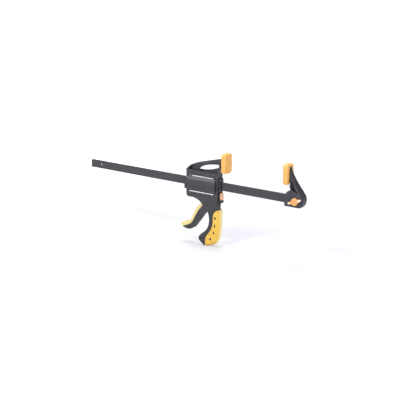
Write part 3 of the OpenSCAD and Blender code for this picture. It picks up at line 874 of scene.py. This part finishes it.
@dataclass
class WingKnob:
    """The knob that turns the lock pin: a dished round middle between two raised wings.

    Its plan is the union of a circle and a bar with round ends, whose border is the larger of
    the two reaches in every direction. The rings shrink that border towards the axis. The top
    is the middle's height plus the wings' rise, which a soft step lets in outside the middle
    and across the wing's width, less a round groove and a dimple on the axis.
    """

    centre: Point = (31.6, -1.2)
    base: float = 10.3
    radius: float = 8.2
    height: float = 5.5
    rise: float = 2.0
    span: float = 31.0
    width: float = 5.0
    angle: float = 19.0
    roll: float = 0.9
    crown: float = 0.5
    wing_start: float = 2.2
    wing_blend: float = 1.4
    side_blend: float = 0.7
    groove: float = 3.6
    groove_depth: float = 0.55
    groove_half: float = 0.45
    dimple: float = 1.7
    dimple_depth: float = 0.8
    dimple_blend: float = 0.6
    rings: int = 46
    around: int = 288

    def _border(self) -> np.ndarray:
        """The plan's border, [along the wings, across them], as the larger of both reaches.

        Returns:
            Array (around, 2).
        """
        turn = np.linspace(0.0, 2 * math.pi, 2880, endpoint=False)
        cosine, sine = np.abs(np.cos(turn)), np.abs(np.sin(turn))
        half, end = self.width / 2, self.span / 2 - self.width / 2
        side = np.minimum(half / np.maximum(sine, 1e-6), self.span)
        tip = end * cosine + np.sqrt(np.maximum(half**2 - (end * sine) ** 2, 0.0))
        reach = np.where(side * cosine <= end, side, tip)
        reach = np.maximum(reach, self.radius)
        return resample(np.column_stack([reach * np.cos(turn), reach * np.sin(turn)]),
                        self.around, closed=True)

    def _height(self, along: np.ndarray, across: np.ndarray) -> np.ndarray:
        """Height of the top at a place of the plan.

        Args:
            along: Millimetres along the wings.
            across: Millimetres across them.

        Returns:
            Millimetres above the knob's foot.
        """
        away = np.hypot(along, across)
        wing = ease((away - self.radius + self.wing_start) / self.wing_blend)
        wing = wing * ease((self.width / 2 + 0.15 - np.abs(across)) / self.side_blend)
        crown = self.crown * (1.0 - (np.abs(across) / self.width * 2) ** 2).clip(0, 1)
        ring = self.groove_depth * np.exp(-(((away - self.groove) / self.groove_half) ** 2))
        dimple = self.dimple_depth * ease((self.dimple - away) / self.dimple_blend)
        return self.height + wing * (self.rise - self.crown + crown) - ring - dimple

    def build(self) -> bpy.types.Object:
        """Builds the knob.

        Returns:
            The knob.
        """
        border = self._border()
        normals = outward(border)
        arc = np.linspace(0.0, math.pi / 2, 7)
        wall = border[None] - (self.roll * (1 - np.cos(arc)))[:, None, None] * normals[None]
        shrink = np.linspace(1.0, 0.012, self.rings)[1:, None, None] * wall[-1][None]
        plan = np.concatenate([border[None], wall, shrink])
        top = self._height(plan[..., 0], plan[..., 1])
        top[0] = 0.0
        top[1 : 1 + len(arc)] = top[len(arc)] - self.roll * (1 - np.sin(arc))[:, None]
        lean = math.radians(self.angle)
        along, across = plan[..., 0], plan[..., 1]
        x = self.centre[0] + along * math.cos(lean) - across * math.sin(lean)
        z = self.centre[1] + along * math.sin(lean) + across * math.cos(lean)
        grid = np.stack([x, -self.base - top, z], axis=-1)
        return Skin("wing_knob", BAR_LINE.place(grid), crease=40.0).build()

    def dress(self, finish: bpy.types.Material) -> None:
        """Builds the knob in its plastic and puts it in the place of its node."""
        settle(self.build(), finish, Body.LOCK, ["lock_knob"])


@dataclass
class HandGrip:
    """The soft grip: two halves wrapped round the handle's core, with oval holes to the core.

    A half's section runs from the seam to the front. Its half width is the core's, plus the
    skin's rise over a round lip at the seam, times a quarter ellipse that closes it on the
    middle plane at the front. The rise also fades in from the top and out at the foot. Inside
    an oval the surface sinks just under the core's side, so that the core's stud shows. The
    inner face lies a wall's thickness under the outer one.
    """

    front: Line = (
        (-0.6, -58.0), (2.6, -60.72), (4.1, -69.09), (4.2, -80.25), (3.8, -93.27),
        (2.2, -110.48), (-0.4, -125.82), (-5.0, -136.98), (-14.0, -144.42),
        (-27.0, -149.07), (-35.0, -150.0),
    )
    seam: Line = (
        (-3.5, -58.0), (-8.6, -63.05), (-12.4, -70.02), (-13.1, -79.32), (-13.5, -90.48),
        (-16.6, -100.71), (-22.3, -111.87), (-30.8, -122.1), (-34.5, -131.4),
        (-35.0, -144.42),
    )
    ovals: tuple[Triple, ...] = (
        (-5.6, -76.99, 0.0), (-6.6, -95.32, 0.0), (-9.6, -112.52, -8.0), (-19.4, -129.54, -35.0),
    )
    oval_size: Point = (3.6, 7.0)
    oval_blend: float = 0.7
    half: float = 13.0
    core: float = 9.0
    skin: float = 3.6
    lip: float = 2.2
    nose: float = 11.0
    length: float = 115.0
    fade: float = 5.0
    wall: float = 0.6
    tuck: float = 0.2
    sink: float = 0.25
    inset: float = 0.4
    rows: int = 300
    cols: int = 90

    def _oval_mask(self, x: np.ndarray, z: np.ndarray) -> np.ndarray:
        """How deep a place lies in an oval: a soft step on the distance inside a slot with
        round ends.

        Args:
            x: Places along the bar.
            z: Heights.

        Returns:
            0 outside every oval, 1 inside one.
        """
        deep = np.zeros_like(x)
        radius, straight = self.oval_size[0] / 2, (self.oval_size[1] - self.oval_size[0]) / 2
        for cx, cz, lean in self.ovals:
            turn = math.radians(lean)
            u = (x - cx) * math.cos(turn) + (z - cz) * math.sin(turn)
            w = -(x - cx) * math.sin(turn) + (z - cz) * math.cos(turn)
            far = np.hypot(u, np.maximum(np.abs(w) - straight, 0.0)) - radius
            deep = np.maximum(deep, ease(0.5 - far / self.oval_blend))
        return deep

    def build(self, side: Side) -> bpy.types.Object:
        """Builds one half.

        Args:
            side: Which half.

        Returns:
            The half.
        """
        front = resample(spline(self.front), self.rows)
        seam = resample(spline(self.seam), self.rows)
        chord = front - seam
        depth = np.linalg.norm(chord, axis=1)[:, None]
        run = np.linspace(0.0, self.length, self.rows)[:, None]
        fade = quarter_round(run / self.fade) * quarter_round((self.length - run) / self.fade)
        across = (1 - np.cos(np.linspace(0.0, math.pi, self.cols)))[None] / 2 * depth
        nose = np.minimum(self.nose, 0.8 * depth)
        rise = quarter_round(across / self.lip) * fade * (self.half - self.core)
        shut = np.sqrt(np.clip(1 - np.clip((across - depth + nose) / nose, 0, 1) ** 2, 0, 1))
        y = (self.core - self.tuck + rise) * shut
        spots = seam[:, None] + chord[:, None] * (across / depth)[..., None]
        mask = self._oval_mask(spots[..., 0], spots[..., 1])
        outer = np.stack([spots[..., 0], y + (self.core - self.sink - y) * mask, spots[..., 1]], -1)
        inside = np.minimum(across, np.maximum(depth - np.minimum(self.skin, 0.5 * depth), 0.1))
        spots = seam[:, None] + chord[:, None] * (inside / depth)[..., None]
        y_in = np.minimum(self.core - self.inset, np.maximum(y - self.wall, 0.0))
        inner = np.stack([spots[..., 0], y_in, spots[..., 1]], -1)[:, ::-1]
        rings = np.concatenate([outer, inner], axis=1)
        rings[..., 1] *= side.value
        return Skin(f"grip_{side.name.lower()}_skin", HOUSING.place(rings), crease=50.0).build()

    def dress(self, finish: bpy.types.Material) -> None:
        """Builds both halves and puts them in the places of their nodes.

        Args:
            finish: The grip's rubber.
        """
        for side in Side:
            node = f"grip_{side.name.lower()}"
            settle(self.build(side), finish, Body.CARRIAGE, [node])


@dataclass
class LeverStrip:
    """The soft strip on the squeeze lever, with shallow finger grooves and a hooked end.

    Stations run from the top to the hook. A section is a superellipse between the seam on the
    lever's core and the strip's outer edge.
    """

    outer: Line = (
        (-43.5, -48.0), (-49.5, -49.2), (-56.0, -52.0), (-61.8, -57.0), (-66.6, -63.4),
        (-70.6, -70.0), (-75.0, -79.4), (-79.0, -88.2), (-83.6, -94.6), (-92.5, -98.8),
        (-103.0, -101.6), (-110.0, -107.4), (-108.8, -111.6), (-103.8, -114.4),
    )
    seam: Line = (
        (-38.0, -47.0), (-44.6, -52.0), (-51.6, -60.0), (-57.9, -67.5), (-62.7, -75.0),
        (-67.8, -83.0), (-71.9, -91.0), (-76.4, -99.0), (-82.4, -104.8), (-92.0, -109.2),
        (-102.5, -112.2), (-103.8, -112.4),
    )
    half: float = 6.5
    power: float = 3.6
    rows: int = 260
    cols: int = 64

    def build(self) -> bpy.types.Object:
        """Builds the strip.

        Returns:
            The strip.
        """
        outer = resample(spline(self.outer), self.rows)
        seam = resample(spline(self.seam), self.rows)
        turn = np.linspace(0.0, 2 * math.pi, self.cols, endpoint=False)
        cosine, sine = np.cos(turn), np.sin(turn)
        across = 0.5 + 0.5 * np.sign(cosine) * np.abs(cosine) ** (2 / self.power)
        y = self.half * np.sign(sine) * np.abs(sine) ** (2 / self.power)
        spots = seam[:, None] + (outer - seam)[:, None] * across[None, :, None]
        wide = np.broadcast_to(y[None], spots.shape[:2])
        rings = np.stack([spots[..., 0], wide, spots[..., 1]], -1)
        return Skin("lever_strip", HOUSING.place(rings), crease=50.0).build()

    def dress(self, finish: bpy.types.Material) -> None:
        """Builds the strip in its rubber and puts it in the place of its node."""
        settle(self.build(), finish, Body.LEVER, ["lever_grip"])


@dataclass
class ThumbPad:
    """The release lever's thumb pad: a thin cushion on the lever's front.

    Seen from the front it is a rounded rectangle, so a section's top and foot draw in near both
    sides by what the corner's circle leaves. A section runs down the cushion's face and up the
    seam on the lever. The face sinks towards the seam by a quarter circle of the roll's radius,
    which leaves a share of the thickness at the border.
    """

    face: Line = (
        (1.2, -15.9), (4.8, -16.3), (6.3, -19.0), (6.8, -24.0), (6.6, -30.0), (6.1, -33.6),
    )
    seam: Line = (
        (1.2, -15.9), (4.0, -17.6), (4.6, -22.0), (4.5, -28.0), (4.0, -33.6),
    )
    half: float = 6.0
    corner: float = 4.0
    roll: float = 1.4
    border: float = 0.25
    rows: int = 60
    cols: int = 64

    def build(self) -> bpy.types.Object:
        """Builds the cushion.

        Returns:
            The cushion.
        """
        face, seam = spline(self.face), spline(self.seam)
        across = np.sin(np.linspace(-math.pi / 2, math.pi / 2, self.cols))[:, None] * self.half
        into = np.clip(np.abs(across) - self.half + self.corner, 0.0, self.corner)
        inset = self.corner - np.sqrt(self.corner**2 - into**2)
        top, low = self.face[0][1] - inset, self.face[-1][1] + inset
        share = (1 - np.cos(np.linspace(0.0, math.pi, self.rows)))[None] / 2
        level = top + (low - top) * share
        front, back = (np.interp(-level, -line[:, 1], line[:, 0]) for line in (face, seam))
        rim = np.minimum(self.half - np.abs(across), level - low)
        thick = self.border + (1.0 - self.border) * quarter_round(rim / self.roll)
        front = back + (front - back) * thick
        x = np.concatenate([front, back[:, ::-1]], axis=1)
        z = np.concatenate([level, level[:, ::-1]], axis=1)
        rings = np.stack([x, np.broadcast_to(across, x.shape), z], -1)
        return Skin("release_cushion", HOUSING.place(rings), crease=50.0).build()

    def dress(self, finish: bpy.types.Material) -> None:
        """Builds the cushion in its plastic and puts it in the place of its node."""
        settle(self.build(), finish, Body.RELEASE, ["release_pad"])


@dataclass
class HousingTrim:
    """Plain pale trim lines, inlaid above and below the barrel on each side."""

    upper: Span = (-72.6, -12.0, 17.2, 1.9)
    dash: Span = (-78.7, -77.3, 17.2, 3.0)
    lower: Span = (-81.0, -12.0, -20.8, 1.9)
    proud: float = 0.15
    sunk: float = 0.2
    roll: float = 0.12
    face: float = 10.5

    def line(self, name: str, span: Span, side: Side) -> bpy.types.Object:
        """Builds one line: a flat bar with round ends and a rolled edge.

        Args:
            name: The piece's name.
            span: Its start, end, middle height and thickness.
            side: The side that it lies on.

        Returns:
            The line.
        """
        start, stop, height, thick = span
        corner = min(thick, stop - start) / 2 - 0.02
        outline = rounded_rectangle(stop - start, thick, corner, 96)
        outline = outline + np.array([(start + stop) / 2, height])
        faces = (self.face - self.sunk, self.face + self.proud)
        low, high = sorted(side.value * face for face in faces)
        return Slab(name, outline, low, high, self.roll, Axis.Y, arc=4).build(HOUSING)

    def dress(self, finish: bpy.types.Material) -> None:
        """Builds all lines.

        Args:
            finish: The trim's paint.
        """
        spans = {"upper": self.upper, "dash": self.dash, "lower": self.lower}
        for side in Side:
            for key, span in spans.items():
                piece = self.line(f"trim_{key}_{side.name.lower()}", span, side)
                settle(piece, finish, Body.CARRIAGE)


# ---------- the whole clamp ----------


@dataclass
class Clamp:
    """The dressed clamp."""

    finishes: Finishes = Finishes()

    def dress_frame(self) -> None:
        """Gives the CAD nodes that keep their shape their finishes."""
        f = self.finishes
        coat(f.bar.build(), "bar")
        coat(f.jaw.build(), "fixed_jaw")
        coat(f.shell.build(), "shell_near", "shell_far")
        coat(f.lever.build(), "lever", "release_lever")
        coat(f.guide.build(), "rear_guide", "front_guide")
        coat(f.turned.build(), "lock_pin", "lock_ring", "pivot_pin", "release_pin")
        coat(f.blanked.build(), "drive_plate_front", "drive_plate_rear", "brake_plate")
        coat(f.drawn.build(), "drive_spring", "brake_spring")
        coat(f.black_oxide.build(), "shell_screws")

    def dress_moulded(self) -> None:
        """Builds the moulded and soft pieces."""
        f = self.finishes
        rubber = f.pad.build()
        Pad("moving_pad_soft", "moving_pad", Body.CARRIAGE, MOVING_FACE, 1).dress(rubber)
        Pad("fixed_pad_soft", "fixed_pad", Body.BAR, FIXED_FACE, -1).dress(rubber)
        WingKnob().dress(f.knob.build())
        HandGrip().dress(f.grip.build())
        LeverStrip().dress(f.strip.build())
        ThumbPad().dress(f.release.build())
        HousingTrim().dress(f.trim.build())


# ---------- studio ----------


@dataclass(frozen=True)
class Lamp:
    """A square softbox aimed at the clamp."""

    name: str
    place: Triple
    size: float
    watts: float

    def hang(self, target: Vector) -> None:
        """Adds the lamp.

        Args:
            target: What it points at.
        """
        data = bpy.data.lights.new(self.name, "AREA")
        data.energy, data.size = self.watts, self.size
        lamp = bpy.data.objects.new(self.name, data)
        lamp.location = self.place
        lamp.rotation_mode = "QUATERNION"
        lamp.rotation_quaternion = (target - Vector(self.place)).to_track_quat("-Z", "Y")
        bpy.context.scene.collection.objects.link(lamp)


@dataclass
class Studio:
    """Floor, white surroundings, lamps and camera."""

    floor_z: float = -0.2066
    floor_size: float = 30.0
    azimuth: float = 36.03
    elevation: float = 15.5
    camera_place: Triple = (1.24356, -2.03311, 0.59778)
    lens: float = 99.45
    sensor: float = 36.0
    target: Triple = (-0.2, 0.0, -0.08)
    lamps: tuple[Lamp, ...] = (
        Lamp("key", (2.1, -0.85, 1.35), 1.0, 40.0),
        Lamp("front", (-0.45, -2.0, 2.1), 0.45, 39.0),
        Lamp("top", (-0.5, 0.3, 2.4), 1.3, 66.0),
        Lamp("band", (-1.6, -2.2, 0.66), 0.45, 17.0),
    )
    ambient: float = 0.06
    ambient_tone: Rgb = (0.97, 0.98, 1.0)
    floor_glow: float = 0.43
    full_glow: float = 1.05
    glow_reach: tuple[float, float] = (0.55, 1.3)
    floor_tone: Rgb = (0.42, 0.42, 0.48)

    def _seen(self, nodes: Nodes) -> bpy.types.NodeSocket:
        """One where a ray from the camera, a mirror or a glass arrives, else nothing.

        Args:
            nodes: The tree that gets the nodes.

        Returns:
            The factor.
        """
        path = nodes.add("ShaderNodeLightPath")
        total = path.outputs["Is Camera Ray"]
        for name in ("Is Glossy Ray", "Is Transmission Ray"):
            total = nodes.calc("MAXIMUM", total, path.outputs[name])
        return total

    def build_world(self) -> None:
        """Plain surroundings: white where seen, a soft even light for the rest."""
        world = bpy.data.worlds.new("surroundings")
        bpy.context.scene.world = world
        nodes = Nodes(world)
        white = nodes.add("ShaderNodeBackground", (1.0, 1.0, 1.0), 1.0)
        light = nodes.add("ShaderNodeBackground", self.ambient_tone, self.ambient)
        camera = nodes.add("ShaderNodeLightPath").outputs["Is Camera Ray"]
        mix = nodes.add("ShaderNodeMixShader", camera, light.outputs[0], white.outputs[0])
        nodes.add("ShaderNodeOutputWorld", mix.outputs[0])

    def _floor_white(self) -> bpy.types.Material:
        """The floor's material: a glow and a faint shadow where it is seen, plain white elsewhere.

        The glow rises from floor_glow near the clamp to full_glow farther off, where the lamps
        add less.

        Returns:
            The material.
        """
        material = bpy.data.materials.new("floor_white")
        nodes = Nodes(material)
        place = nodes.add("ShaderNodeTexCoord").outputs["Object"]
        reach = nodes.add("ShaderNodeVectorMath", place, operation="LENGTH").outputs["Value"]
        glow = nodes.add("ShaderNodeEmission")
        rise = nodes.ramp(reach, *self.glow_reach, self.floor_glow, self.full_glow)
        nodes.feed(glow.inputs["Strength"], rise)
        faint = nodes.add("ShaderNodeBsdfDiffuse", self.floor_tone)
        both = nodes.add("ShaderNodeAddShader", glow.outputs[0], faint.outputs[0])
        plain = nodes.add("ShaderNodeBsdfDiffuse", (0.8, 0.8, 0.8))
        ends = (plain.outputs[0], both.outputs[0])
        mix = nodes.add("ShaderNodeMixShader", self._seen(nodes), *ends)
        nodes.add("ShaderNodeOutputMaterial", mix.outputs[0])
        return material

    def build_floor(self) -> None:
        """A white floor that keeps the clamp's faint shadow."""
        half = self.floor_size / 2
        mesh = bpy.data.meshes.new("floor")
        corners = [(-half, -half), (half, -half), (half, half), (-half, half)]
        mesh.from_pydata([(x, y, self.floor_z) for x, y in corners], [], [(0, 1, 2, 3)])
        floor = bpy.data.objects.new("floor", mesh)
        bpy.context.scene.collection.objects.link(floor)
        mesh.materials.append(self._floor_white())

    def build_camera(self) -> None:
        """The camera, at its azimuth and elevation, with no shift and no depth of field."""
        data = bpy.data.cameras.new("camera")
        data.lens, data.sensor_width = self.lens, self.sensor
        data.clip_start, data.clip_end = 0.05, 60.0
        camera = bpy.data.objects.new("camera", data)
        a, e = math.radians(self.azimuth), math.radians(self.elevation)
        ahead = Vector((-math.sin(a) * math.cos(e), math.cos(a) * math.cos(e), -math.sin(e)))
        camera.location = self.camera_place
        camera.rotation_mode = "QUATERNION"
        camera.rotation_quaternion = ahead.to_track_quat("-Z", "Y")
        bpy.context.scene.collection.objects.link(camera)
        bpy.context.scene.camera = camera

    def build(self) -> None:
        """Builds the studio."""
        bpy.context.scene.view_settings.view_transform = "Standard"
        self.build_world()
        self.build_floor()
        for lamp in self.lamps:
            lamp.hang(Vector(self.target))
        self.build_camera()


def main() -> None:
    """Builds the studio and the clamp."""
    logging.basicConfig(level=logging.INFO, format="%(name)s %(message)s")
    Studio().build()
    clamp = Clamp()
    clamp.dress_frame()
    clamp.dress_moulded()


if __name__ == "__main__":
    main()
